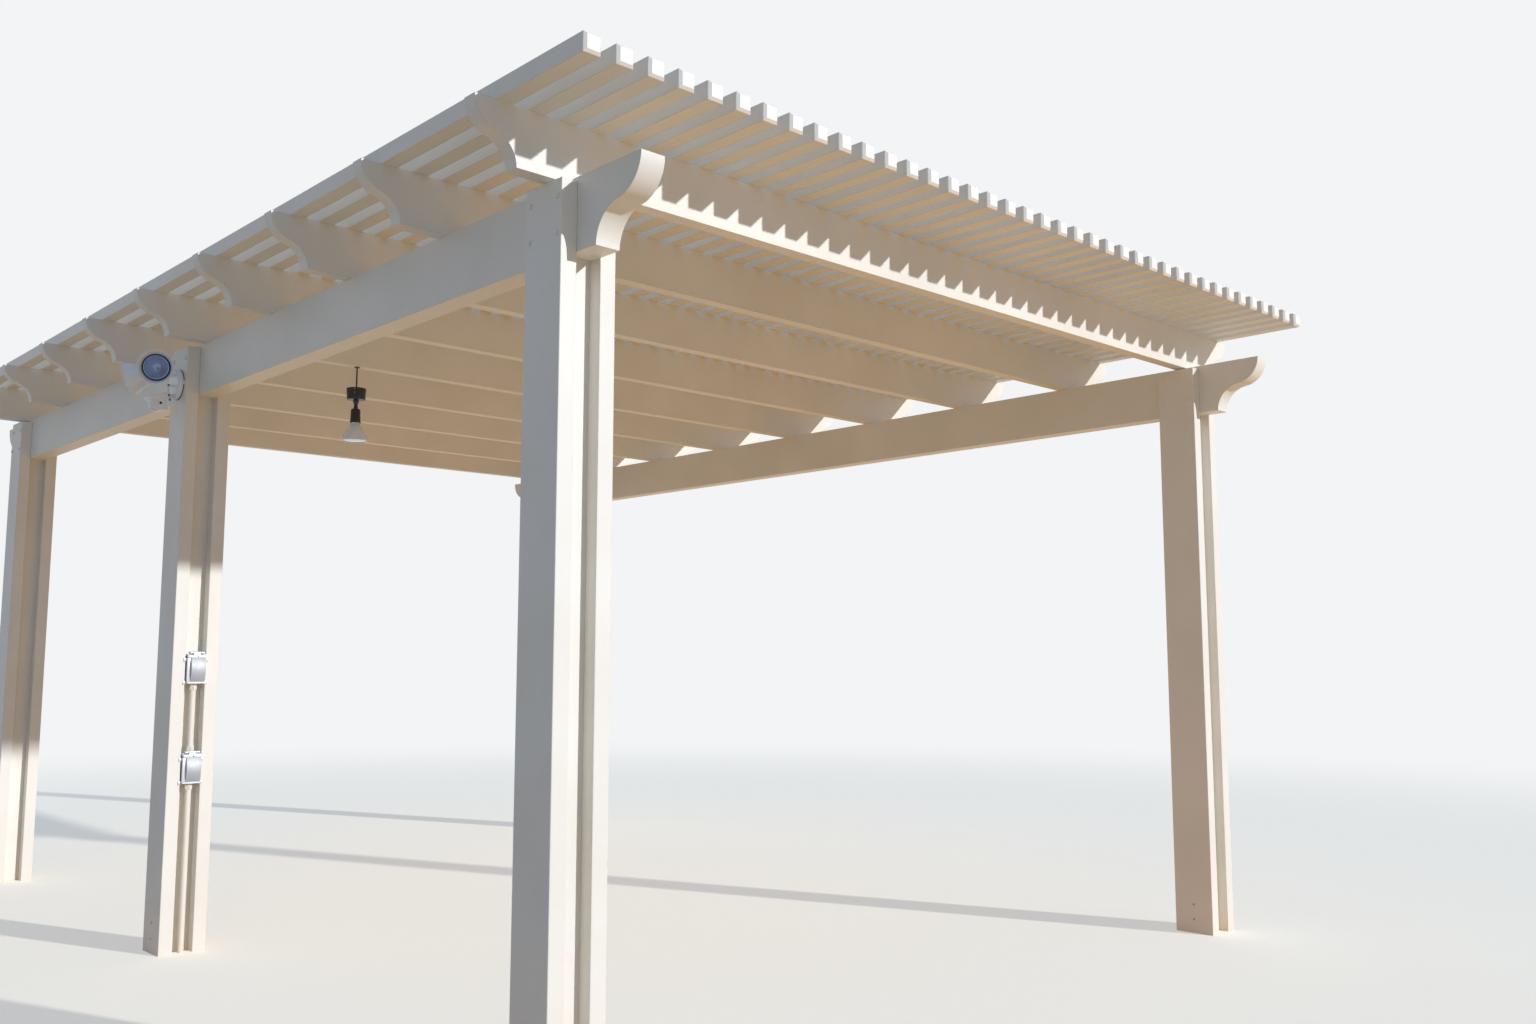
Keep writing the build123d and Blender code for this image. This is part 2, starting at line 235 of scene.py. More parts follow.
# sand-cast zinc alloy under silver lacquer: pale grey, with the mould's skin drawn coarser than it is
zincLook = {"metallic": 0.35, "speckle": 2.0, "spread": 0.06, "bumpDepth": 0.2}
castZinc = fittingFinish("lacquered_cast_zinc", "D5D6D8", 0.4, **zincLook)
# rolled aluminium of the flaps, greyer than the casting and smooth
flapAluminium = fittingFinish("rolled_aluminium", "AEB0B4", 0.52, metallic=0.4, speckle=14.0, spread=0.04)
# steel conduit brushed over with the same cream as the posts
conduitCream = fittingFinish("brush_painted_conduit", "E9E3D5", 0.5, speckle=3.0)
# black satin enamel on spun steel
blackEnamel = fittingFinish("black_satin_enamel", "1D1A19", 0.42, speckle=3.0, spread=0.2, coat=0.1)
# moulded rubber, dull
blackRubber = fittingFinish("moulded_rubber", "17181A", 0.75, speckle=2.0, spread=0.2)
# translucent polyethylene of the sensor's window
milkyPolythene = fittingFinish("milky_polyethylene", "C4CAD0", 0.3, spread=0.03, coat=0.3)
# carriage bolts painted with the posts, and bare zinc-plated screws
paintedBolt = fittingFinish("painted_bolt_steel", "E8E4DA", 0.3, speckle=3.0, spread=0.03)
platedScrew = fittingFinish("zinc_plated_steel", "8E8C86", 0.35, metallic=0.9, speckle=2.0)
# aluminium vapour on glass: a soft mirror whose colour is darkened and blued by a painted reflection of the
# sky
mirrorLook = {"metallic": 1.0, "speckle": 24.0, "spread": 0.03}
mirrorWithPaintedSky = fittingFinish("aluminised_glass_painted_sky", "7E96BE", 0.34, **mirrorLook)
# heat-stained burner seen through the glass
burnerMetal = fittingFinish("heat_stained_burner", "6B4638", 0.5, metallic=0.3, speckle=1.5, spread=0.3)
# clear front glass: a hard glint over the bowl
clearGlass = pressedGlass("pressed_borosilicate", "F6FAFF", 1.0, 0.03)
# the hung lamp's cone: half clear and half milky, so that its burner shows as a dark patch
milkyGlass = pressedGlass("lightly_frosted_borosilicate", "FAFCFF", 0.48, 0.16)

nodeFinishes = {
    "post_": alongZ,
    "header": alongX,
    "lattice_tubes": alongX,
    "lattice_caps": capVinyl,
    "rafter": alongY,
    "outlet_conduit": conduitCream,
    "outlet": castZinc,
    "pendant": blackEnamel,
    "flood": fixtureWhite,
    "motion": fixtureWhite,
}
for name, node in nodes.items():
    start = next(start for start in nodeFinishes if name.startswith(start))
    node.data.materials.clear()
    node.data.materials.append(nodeFinishes[start])
print("CAD nodes painted")

# Making pieces

smoothAngle = 35      # degrees: faces that meet at less are shaded as one surface
easedAngle = 40       # degrees: corners that turn by more are eased
easedSteps = 3
mergeDistance = 0.02  # mm
straight = 0.99       # how far a flat face's normal lies along an axis


def finishPiece(piece, name, body, material):
    # names a piece, gives it its finish and fixes it to its body
    piece.name = name
    piece.data.name = name
    piece.data.materials.clear()
    piece.data.materials.append(material)
    selectOnly(piece)
    bpy.ops.object.shade_smooth_by_angle(angle=math.radians(smoothAngle))
    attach(piece, body)


def placed(piece, place):
    # puts the place in the mesh, so that the object stays at the origin
    piece.data.transform(place @ piece.matrix_basis)
    piece.matrix_basis = Matrix.Identity(4)
    return piece


def moved(x, y, z):
    return Matrix.Translation((x * millimetre, y * millimetre, z * millimetre))


def turned(degrees, axis):
    return Matrix.Rotation(math.radians(degrees), 4, axis)


def startWire(points):
    # draws a wire through the points, in millimetres, and stays in edit mode
    steps = [Vector(point) * millimetre for point in points]
    bpy.ops.mesh.primitive_plane_add(size=millimetre)
    piece = bpy.context.active_object
    selectOnly(piece)
    bpy.ops.object.mode_set(mode="EDIT")
    bpy.ops.mesh.select_mode(type="VERT")
    bpy.ops.mesh.select_all(action="SELECT")
    bpy.ops.mesh.merge(type="CENTER")
    bpy.ops.transform.translate(value=steps[0])
    for before, after in zip(steps, steps[1:]):
        bpy.ops.mesh.extrude_vertices_move(TRANSFORM_OT_translate={"value": after - before})
    bpy.ops.mesh.select_all(action="SELECT")
    return piece


def closeMesh():
    # merges what coincides, turns the faces outwards and leaves edit mode
    bpy.ops.mesh.select_all(action="SELECT")
    bpy.ops.mesh.remove_doubles(threshold=mergeDistance * millimetre)
    bpy.ops.mesh.normals_make_consistent(inside=False)
    objectMode()


def spunShape(outline, sides):
    # spins an outline of (radius, height) points about Z
    piece = startWire([(radius, 0, height) for radius, height in outline])
    bpy.ops.mesh.spin(steps=sides, angle=2 * math.pi, center=(0, 0, 0), axis=(0, 0, 1))
    closeMesh()
    return piece


def sideShape(outline, width, edge):
    # a closed outline of (x, z) points, as thick as the width along Y, with its edges eased
    piece = startWire([(x, -width / 2, z) for x, z in outline])
    bpy.ops.mesh.edge_face_add()
    bpy.ops.mesh.extrude_region_move(TRANSFORM_OT_translate={"value": (0, width * millimetre, 0)})
    closeMesh()
    modifier = piece.modifiers.new("edges", "BEVEL")
    modifier.width = edge * millimetre
    modifier.segments = easedSteps
    modifier.limit_method = "ANGLE"
    modifier.angle_limit = math.radians(easedAngle)
    selectOnly(piece)
    bpy.ops.object.modifier_apply(modifier="edges")
    return piece


def block(low, high, edge):
    # a block between two corners with rounded edges
    low = Vector(low) * millimetre
    high = Vector(high) * millimetre
    bpy.ops.mesh.primitive_cube_add(size=1, location=(low + high) / 2, scale=high - low)
    piece = placed(bpy.context.active_object, Matrix.Identity(4))
    editFaces(piece, lambda face: True)
    bpy.ops.mesh.bevel(offset=edge * millimetre, segments=easedSteps, affect="EDGES")
    objectMode()
    return piece


def joined(pieces):
    selectOnly(*pieces)
    bpy.ops.object.join()
    return bpy.context.view_layer.objects.active


def copies(piece, places):
    # one mesh with a copy of the piece at each place
    made = []
    for place in places:
        copy = piece.copy()
        copy.data = piece.data.copy()
        bpy.context.scene.collection.objects.link(copy)
        made.append(placed(copy, place))
    bpy.data.objects.remove(piece)
    return joined(made)


def arc(centre, radius, start, end, count):
    # points along an arc, for an outline
    angles = [math.radians(start + (end - start) * step / count) for step in range(count + 1)]
    return [(centre[0] + radius * math.cos(a), centre[1] + radius * math.sin(a)) for a in angles]


def roundDisc(radius, thickness, edge, sides=40):
    # a disc on Z = 0 with both edges rounded
    low = arc((radius - edge, edge), edge, -90, 0, 4)
    high = arc((radius - edge, thickness - edge), edge, 0, 90, 4)
    return spunShape([(0, 0), *low, *high, (0, thickness)], sides)


def roundHead(size):
    # a low domed head on its rim, standing on Z = 0
    radius = size["radius"] * millimetre
    rim = size["rim"] * millimetre
    sides = size["sides"]
    bpy.ops.mesh.primitive_cylinder_add(vertices=sides, radius=radius, depth=rim, location=(0, 0, rim / 2))
    head = placed(bpy.context.active_object, Matrix.Identity(4))
    rest = size["rise"] * millimetre - rim
    editFaces(head, lambda face: face.normal.z > straight)
    for share, rise in size["dome"]:
        bpy.ops.mesh.inset(thickness=share * radius)
        bpy.ops.transform.translate(value=(0, 0, rise * rest))
    objectMode()
    return head


# Bolts through the side plates, screws at their feet and screws down into the rafters.
# A dome's steps go inwards by shares of the radius, and up by shares of the height above the rim.

bolt = {
    "radius": 8.5,
    "rise": 6.4,
    "rim": 3.2,
    "dome": ((0.16, 0.45), (0.26, 0.35), (0.30, 0.20)),
    "side": 20.0,              # from the plate's edges
    "drops": (45.0, 145.0),    # below the plate's top
    "sides": 20,
}
footScrew = {
    "radius": 4.5,
    "rise": 2.4,
    "rim": 0.8,
    "dome": ((0.2, 0.6), (0.35, 0.4)),
    "heights": (55.0, 115.0),
    "sides": 12,
}
roofScrew = {
    "radius": 5.5,
    "rise": 3.0,
    "rim": 1.2,
    "dome": ((0.2, 0.6), (0.35, 0.4)),
    "sides": 8,
}


def plateFaces():
    # each plate's box, the Y of its showing face, and 1 or -1 for the side that this face looks to
    for name in nodes:
        if name.endswith("plate"):
            low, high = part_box(name)
            side = 1 if (low.y > 0) == ("outer" in name) else -1
            yield low, high, high.y if side > 0 else low.y, side


def makePlateBolts():
    places = []
    feet = []
    inset = bolt["side"] * millimetre
    for low, high, face, side in plateFaces():
        outwards = turned(-90 * side, "X")
        for x in (low.x + inset, high.x - inset):
            for drop in bolt["drops"]:
                places.append(Matrix.Translation((x, face, high.z - drop * millimetre)) @ outwards)
        for height in footScrew["heights"]:
            feet.append(Matrix.Translation(((low.x + high.x) / 2, face, height * millimetre)) @ outwards)
    finishPiece(copies(roundHead(bolt), places), "plate_bolts", "frame", paintedBolt)
    finishPiece(copies(roundHead(footScrew), feet), "foot_screws", "frame", platedScrew)
    print("plate bolts:", len(places), "foot screws:", len(feet))


def makeRoofScrews():
    # one where each lattice tube crosses a rafter
    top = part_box("lattice_tubes_front")[1].z
    rows = []
    for section in ("front", "middle", "rear"):
        tubes = nodes[f"lattice_tubes_{section}"]
        edges = sorted({round(vertex.co.y, 4) for vertex in tubes.data.vertices})
        rows += [(a + b) / 2 for a, b in zip(edges[::2], edges[1::2])]
    columns = [sum(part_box(name), Vector()).x / 2 for name in nodes if name.startswith("rafter")]
    places = [Matrix.Translation((x, y, top)) for x in columns for y in rows]
    finishPiece(copies(roundHead(roofScrew), places), "roof_screws", "frame", paintedBolt)
    print("roof screws:", len(places))


makePlateBolts()
makeRoofScrews()

# Flood light: heads on round ears, which turn against the ears of the canopy's arms

facing = {"right": 1, "left": -1}     # the side of each arm's ear
knuckle = {
    "radius": 15.0,
    "thickness": 9.0,
    "gap": 0.3,
    "edge": 1.8,
    "long": 1.25,          # the heads' ears are longer than they are wide
    "web": 20.0,           # height of the web between ear and bell
    "webStart": 4.0,
    "webSink": 1.5,        # into the bell
    "webInset": 0.4,       # thinner than the ear on each side
    "webEdge": 1.5,
}
bell = {
    "neckRadius": 19.0,
    "neckStart": 18.0,     # from the hinge, as for all that lies along the bell
    "neckEnd": 30.0,
    "neckEdge": 2.0,
    "fillet": (2.5, 0.6),  # out from the neck, and short of the shoulder
    "shoulder": 34.0,
    "shoulderRadius": 38.0,
    "shoulderEdge": 5.0,
    "mouth": 100.0,
    "mouthRadius": 66.0,
    "fullness": 0.9,       # how far the side bows out of a straight line
    "wall": 2.5,
    "lip": 1.8,
    "lipInset": 0.2,
    "boreGap": 1.0,        # round the lamp's base
    "steps": 8,
    "sides": 72,
    "tilt": {"right": -6.0, "left": -18.0},
}
floodLamp = {
    "seat": 24.0,
    "baseRadius": 13.5,
    "collar": 38.0,
    "rimRadius": 47.5,
    "rim": 9.0,
    "front": 78.0,
    "dome": 5.0,
    "wall": 0.0,           # a parabolic hollow, not a wall of one thickness
    "fullness": 0.1,
    "burnerRadius": 3.2,
    "burnerTop": 56.0,
    # the rubber ring round the lens, drawn thicker than a real seal so that it paints the shade inside the
    # bell
    "shadeGasket": 5.0,
}
lampForm = {
    "sides": 72,
    "steps": 12,
    "rimEdge": 1.2,
    "rimWidth": 3.4,
    "wallRise": 1.0,       # how far the inside lies above the outside of a thin wall
    "hollowFloor": 2.0,    # above the collar
    "hollowTop": 1.0,      # below the front
    "glassInset": 3.2,
    "glassSink": 2.5,
    "glassDepth": 2.0,
    "burnerSides": 24,
    "burnerFoot": (3.0, 6.0, 8.0),     # heights above the collar
    "burnerWaist": 0.6,
    "burnerHead": (3.0, 2.4),          # radii below the top, where the head begins
    "gasketSink": 0.6,
    "gasketDrop": 2.0,
}
pinScrew = {
    "radius": 6.0,
    "rise": 3.6,
    "rim": 2.0,
    "dome": ((0.15, 0.6), (0.35, 0.4)),
    "sides": 24,
}


def knucklePlace(side):
    # the hinge's place, with X out along the bell before it is tilted
    joint = joints[f"head_{side}_tilt"]
    turn = math.atan2(joint["axis"][0], -joint["axis"][1])
    return Matrix.Translation(joint["pos_m"]) @ Matrix.Rotation(turn, 4, "Z")


def headPlace(side):
    return knucklePlace(side) @ turned(-bell["tilt"][side], "Y")


def ear(side, length):
    # an ear on the XZ plane, so many times longer than wide, on one side of the hinge's middle plane
    size = knuckle
    disc = roundDisc(size["radius"], size["thickness"], size["edge"])
    stretch = Matrix.Scale(length, 4, (1, 0, 0))
    lift = moved(0, 0, size["gap"] / 2)
    return placed(disc, turned(-90 * side, "X") @ lift @ stretch)


def flare(inset):
    # the bell's side from its shoulder to its mouth, a shade fuller than a straight line
    start = Vector((bell["shoulderRadius"] - inset, bell["shoulder"] + bell["shoulderEdge"]))
    end = Vector((bell["mouthRadius"] - inset, bell["mouth"]))
    points = []
    for step in range(bell["steps"] + 1):
        share = step / bell["steps"]
        point = start.lerp(end, share)
        points.append((point.x + bell["fullness"] * math.sin(math.pi * share), point.y))
    return points


def makeBell(side):
    size = bell
    radius = size["neckRadius"]
    start = size["neckStart"]
    edge = size["neckEdge"]
    neck = [(0, start), (radius - edge, start), (radius, start + edge), (radius, size["neckEnd"])]
    out, short = size["fillet"]
    edge = size["shoulderEdge"]
    shoulder = [(radius + out, size["shoulder"] - short)]
    shoulder += arc((size["shoulderRadius"] - edge, size["shoulder"] + edge), edge, -90, 0, 5)
    lipMiddle = size["mouth"] - size["lip"]
    lipStart = lipMiddle - size["lip"]
    lip = arc((size["mouthRadius"] - size["lipInset"], lipMiddle), size["lip"], -60, 180, 8)
    outside = [point for point in flare(0) if point[1] < lipStart]
    inside = [point for point in reversed(flare(size["wall"])) if point[1] < lipStart]
    bore = floodLamp["baseRadius"] + size["boreGap"]
    seat = floodLamp["seat"]
    socket = [(bore, size["shoulder"] + size["wall"]), (bore, seat), (0, seat)]
    outline = [*neck, *shoulder, *outside[1:], *lip, *inside, *socket]
    shell = placed(spunShape(outline, size["sides"]), turned(90, "Y"))
    disc = ear(-facing[side], knuckle["long"])
    middle = -facing[side] * (knuckle["gap"] + knuckle["thickness"]) / 2
    half = knuckle["thickness"] / 2 - knuckle["webInset"]
    low = (knuckle["webStart"], middle - half, -knuckle["web"] / 2)
    high = (start + knuckle["webSink"], middle + half, knuckle["web"] / 2)
    web = block(low, high, knuckle["webEdge"])
    head = placed(joined([shell, disc, web]), headPlace(side))
    finishPiece(head, f"flood_bell_{side}", f"head_{side}", fixtureWhite)
    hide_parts(f"flood_head_{side}")


def bowlOutside(size):
    # the bowl's outside from its neck to its rim
    neck = size["baseRadius"]
    depth = size["front"] - size["rim"] - size["collar"]
    points = []
    for step in range(lampForm["steps"] + 1):
        share = step / lampForm["steps"]
        full = share + size["fullness"] * math.sin(math.pi * share)
        points.append((neck + (size["rimRadius"] - neck) * full, size["collar"] + depth * share))
    return points


def bowlInside(size, bowl):
    # the inside of a lamp's bowl, from its front edge to its middle
    edge = size["rimRadius"] - lampForm["rimWidth"]
    collar = size["collar"]
    front = size["front"]
    if size["wall"]:
        rise = lampForm["wallRise"]
        wall = [(radius - size["wall"], height + rise) for radius, height in reversed(bowl)]
        return [(edge, front), (edge, front - size["rim"]), *wall[1:], (0, collar + rise)]
    bottom = collar + lampForm["hollowFloor"]
    depth = front - lampForm["hollowTop"] - bottom
    shares = [step / lampForm["steps"] for step in range(lampForm["steps"], -1, -1)]
    return [(edge, front), *((edge * math.sqrt(share), bottom + depth * share) for share in shares)]


def burnerLine(size):
    # the burner's outline: a foot, a waist and a round head
    radius = size["burnerRadius"]
    top = size["burnerTop"]
    waist = radius * lampForm["burnerWaist"]
    low, middle, high = (size["collar"] + height for height in lampForm["burnerFoot"])
    under, over = (top - share * radius for share in lampForm["burnerHead"])
    line = [(0, low), (radius, low), (radius, middle), (waist, high), (waist, under), (radius, over)]
    return line + arc((0, top - radius), radius, 0, 90, 6)


def makeLamp(size, place, body, names, bowlFinish):
    # a sealed lamp along Z: bowl, domed front glass, burner, and any rubber ring, drawn wide as painted shade
    rim = size["rimRadius"]
    front = size["front"]
    edge = lampForm["rimEdge"]
    bowl = bowlOutside(size)
    outline = [(0, size["seat"]), (size["baseRadius"], size["seat"]), *bowl, (rim, front - edge)]
    outline += [(rim - edge, front), *bowlInside(size, bowl)]
    bowlPiece = placed(spunShape(outline, lampForm["sides"]), place)
    finishPiece(bowlPiece, names["bowl"], body, bowlFinish)
    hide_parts(names["node"])
    lens = rim - lampForm["glassInset"]
    sphere = (lens ** 2 + size["dome"] ** 2) / (2 * size["dome"])
    half = math.degrees(math.asin(lens / sphere))
    centre = front - lampForm["glassSink"] + size["dome"] - sphere
    outer = arc((0, centre), sphere, 90, 90 - half, 10)
    inner = arc((0, centre), sphere - lampForm["glassDepth"], 90 - half, 90, 10)
    glass = placed(spunShape([*outer, *inner], lampForm["sides"]), place)
    finishPiece(glass, names["glass"], body, clearGlass)
    burner = placed(spunShape(burnerLine(size), lampForm["burnerSides"]), place)
    finishPiece(burner, names["burner"], body, burnerMetal)
    # a black ring round the lens: partly the real seal, partly painted shade inside the bell's mouth
    if size["shadeGasket"]:
        thick = size["shadeGasket"] / 2
        middle = (rim + thick - lampForm["gasketSink"], front - lampForm["gasketDrop"])
        ring = placed(spunShape(arc(middle, thick, 0, 360, 12), lampForm["sides"]), place)
        finishPiece(ring, names["shadeGasket"], body, blackRubber)


for side in facing:
    makeBell(side)
    lampNames = {part: f"flood_{part}_{side}" for part in ("bowl", "glass", "burner", "shadeGasket")}
    lampNames["node"] = f"flood_lamp_{side}"
    makeLamp(floodLamp, headPlace(side) @ turned(90, "Y"), f"head_{side}", lampNames, mirrorWithPaintedSky)
print("flood heads made")

canopy = {
    "radius": 60.325,
    "depth": 20.0,
    "edge": 7.0,
    "step": 1.2,           # the raised face inside the rim
    "shelf": 5.0,          # the flat ring round the raised face
    "slope": 1.5,
    "sides": 72,
    "armLine": ((0.0, 11.0), (0.28, 11.0), (0.5, 8.6), (0.8, 8.0), (1.0, 6.4)),    # share of length, radius
    "armSink": 0.45,       # into the ear, as a share of its radius
    "armSides": 32,
    "armSpread": 26.0,
    "armRise": 46.0,
    # the black seal behind the canopy, a painted shadow line round its rim
    "shadeGasket": 61.6,
    "gasketDepth": 3.0,
    "gasketEdge": 0.8,
}
baseLow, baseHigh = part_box("flood_base")
canopyHeight = baseLow.z + canopy["radius"] * millimetre
canopyCentre = Vector(((baseLow.x + baseHigh.x) / 2, baseHigh.y, canopyHeight))


def alongLine(start, end):
    # a place at the start with Z towards the end
    return Matrix.Translation(start) @ (end - start).to_track_quat("Z", "Y").to_matrix().to_4x4()


def makeArm(side):
    size = canopy
    lift = Vector((facing[side] * size["armSpread"], -size["depth"] / 2, size["armRise"]))
    root = canopyCentre + lift * millimetre
    reach = knuckle["gap"] / 2 + knuckle["thickness"] / 2
    seat = (knucklePlace(side) @ moved(0, facing[side] * reach, 0)).translation
    length = (seat - root).length / millimetre - knuckle["radius"] * size["armSink"]
    outline = [(0, 0), *((radius, length * share) for share, radius in size["armLine"]), (0, length)]
    rod = placed(spunShape(outline, size["armSides"]), alongLine(root, seat))
    disc = placed(ear(facing[side], 1.0), knucklePlace(side))
    return [rod, disc]


def makeCanopy():
    size = canopy
    radius = size["radius"]
    depth = size["depth"]
    edge = size["edge"]
    top = depth - size["step"]
    rim = arc((radius - edge, depth - edge - size["step"]), edge, 0, 90, 6)
    inner = radius - edge - size["shelf"]
    outline = [(0, 0), (radius, 0), *rim, (inner + size["slope"], top), (inner, depth), (0, depth)]
    disc = placed(spunShape(outline, size["sides"]), Matrix.Translation(canopyCentre) @ turned(90, "X"))
    base = joined([disc, *makeArm("right"), *makeArm("left"), *makeSensorBracket()])
    finishPiece(base, "flood_canopy", "frame", fixtureWhite)
    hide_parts("flood_base")
    # the seal against the post, in black rubber: it paints the shadow line round the canopy
    seal = roundDisc(size["shadeGasket"], size["gasketDepth"], size["gasketEdge"], size["sides"])
    seal = placed(seal, Matrix.Translation(canopyCentre) @ turned(90, "X"))
    finishPiece(seal, "flood_seal_painted_shadow", "frame", blackRubber)


# Motion sensor: a hooded head that tilts on a bracket under the canopy

sensor = {
    "tilt": -15.0,
    "disc": 10.0,
    "discEdge": 1.2,
    "plate": 6.0,
    "start": 12.3,
    "length": 74.0,
    "width": 56.0,
    "hood": 22.0,
    "nose": 10.0,
    "setback": 8.0,           # of the housing under the hood
    "lens": 46.0,             # how far the housing hangs down
    "overlap": 4.0,           # of the housing up into the hood, and of the hood over the window
    "chin": 24.0,
    "heel": 6.0,
    "edge": 4.0,
    "housingEdge": 2.5,
    "webStart": 4.0,
    "webSink": 2.0,           # into the hood
    "webSides": (0.6, 5.6),
    "webHalf": 5.0,
    "webEdge": 1.0,
    "eye": (44.0, -27.5),     # the round spot on the side of the housing
    "eyeRadius": 5.0,
    "eyeDepth": 1.6,
    "eyeEdge": 0.6,
    "window": 30.0,
    "windowProud": 0.5,
    "windowDepth": 1.0,
    "windowEdge": 0.3,
}
sensorScrew = {
    "radius": 3.6,
    "rise": 2.0,
    "rim": 1.2,
    "dome": ((0.3, 0.6), (0.3, 0.4)),
    "sides": 16,
}
stem = {
    "width": 8.0,
    "top": 46.0,           # above the hinge
    "foot": 8.0,           # height of the foot that turns back to the canopy
    "edge": 1.0,
    "tongue": 22.0,        # below the hinge, for the second screw
    "tongueWidth": 10.0,
    "tongueMiddle": -7.0,  # behind the hinge, clear of the turning hood
    "armEdge": 1.2,
    "armInset": 1.0,       # lower than the ear at the top and bottom
    "screwRise": 5.0,      # above the tongue's end
}
sensorHinge = Matrix.Translation(joints["sensor_tilt"]["pos_m"]) @ turned(-90, "Z")
sensorPlace = sensorHinge @ turned(-sensor["tilt"], "Y")
sensorMiddle = (knuckle["gap"] + sensor["plate"]) / 2


def makeSensorBracket():
    # the fixed ear, its arm back to the canopy, the upright stem and the tongue with the second screw
    size = sensor
    disc = roundDisc(size["disc"], size["plate"], size["discEdge"])
    disc = placed(disc, sensorHinge @ turned(90, "X") @ moved(0, 0, knuckle["gap"] / 2))
    reach = (canopyCentre - sensorHinge.translation).y / millimetre
    near = -sensorMiddle + size["plate"] / 2
    far = -sensorMiddle - size["plate"] / 2
    back = -reach + canopy["depth"] / 2
    tall = size["disc"] - stem["armInset"]
    half = stem["width"] / 2
    arm = block((back, far, -tall), (0, near, tall), stem["armEdge"])
    upright = block((-half, far, 0), (half, near, stem["top"]), stem["edge"])
    foot = block((back, far, stem["top"] - stem["foot"]), (half, near, stem["top"]), stem["edge"])
    half = stem["tongueWidth"] / 2
    middle = stem["tongueMiddle"]
    tongue = block((middle - half, far, -stem["tongue"]), (middle + half, near, 0), stem["armEdge"])
    return [disc, *(placed(piece, sensorHinge) for piece in (arm, upright, foot, tongue))]


def makeSensorShell(end, half, front, base):
    size = sensor
    start = size["start"]
    nose = size["nose"]
    lower = arc((end - nose, -half + nose), nose, -90, 0, 6)
    upper = arc((end - nose, half - nose), nose, 0, 90, 6)
    hoodLine = [(start, -half), *lower, *upper, (start, half), (start, -half)]
    hood = sideShape(hoodLine, size["width"], size["edge"])
    back = start + size["setback"]
    top = -half + size["overlap"]
    chin = arc((front - size["chin"], base + size["chin"]), size["chin"], 0, -90, 10)
    heel = arc((back + size["heel"], base + size["heel"]), size["heel"], -90, -180, 5)
    housingLine = [(front, top), *chin, *heel, (back, top), (front, top)]
    housing = sideShape(housingLine, size["width"] - 2 * size["setback"], size["housingEdge"])
    disc = roundDisc(size["disc"], size["plate"], size["discEdge"])
    disc = placed(disc, turned(-90, "X") @ moved(0, 0, knuckle["gap"] / 2))
    near, far = size["webSides"]
    low = (size["webStart"], near, -size["webHalf"])
    web = block(low, (start + size["webSink"], far, size["webHalf"]), size["webEdge"])
    aside = moved(0, sensorMiddle, 0)
    shell = joined([placed(hood, aside), placed(housing, aside), disc, web])
    finishPiece(placed(shell, sensorPlace), "sensor_shell", "sensor", fixtureWhite)
    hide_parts("motion_sensor")


def makeSensor():
    size = sensor
    end = size["start"] + size["length"]
    half = size["hood"] / 2
    front = end - size["setback"]
    base = -half - size["lens"]
    makeSensorShell(end, half, front, base)
    # the window wraps round the chin, a little proud of the housing
    centre = (front - size["chin"], base + size["chin"])
    proud = size["windowProud"]
    depth = size["windowDepth"]
    outer = arc(centre, size["chin"] + proud, 0, -80, 10)
    inner = arc(centre, size["chin"] - depth, -80, 0, 10)
    top = -half - size["overlap"]
    line = [(front + proud, top), *outer, *inner, (front - depth, top), (front + proud, top)]
    window = sideShape(line, size["window"], size["windowEdge"])
    window = placed(window, sensorPlace @ moved(0, sensorMiddle, 0))
    finishPiece(window, "sensor_window", "sensor", milkyPolythene)
    wall = sensorMiddle + size["width"] / 2 - size["setback"]
    x, z = size["eye"]
    eye = roundDisc(size["eyeRadius"], size["eyeDepth"], size["eyeEdge"], 24)
    eye = placed(eye, sensorPlace @ moved(x, wall - size["eyeEdge"], z) @ turned(-90, "X"))
    finishPiece(eye, "sensor_eye", "sensor", blackRubber)


def makePinScrews():
    # round screw heads in the middle of each turning ear
    gap = knuckle["gap"]
    for side in facing:
        out = knuckle["thickness"] + gap / 2 + gap
        place = knucklePlace(side) @ turned(90 * facing[side], "X") @ moved(0, 0, out)
        head = placed(roundHead(pinScrew), place)
        finishPiece(head, f"flood_pin_{side}", "frame", platedScrew)
    # dark screws: the hinge's, one on the tongue and one at the top of the stem
    pin = moved(0, sensor["plate"] + gap / 2 + gap, 0)
    low = moved(stem["tongueMiddle"], -gap / 2, -stem["tongue"] + stem["screwRise"])
    high = moved(0, -gap / 2, stem["top"] - stem["foot"] / 2)
    places = [sensorHinge @ spot @ turned(-90, "X") for spot in (pin, low, high)]
    screws = copies(roundHead(sensorScrew), places)
    finishPiece(screws, "fixture_screws", "frame", blackRubber)


makeCanopy()
makeSensor()
makePinScrews()
print("flood light and sensor made")

# Outlet covers: a flat frame with a bowed flap, hinged above the box

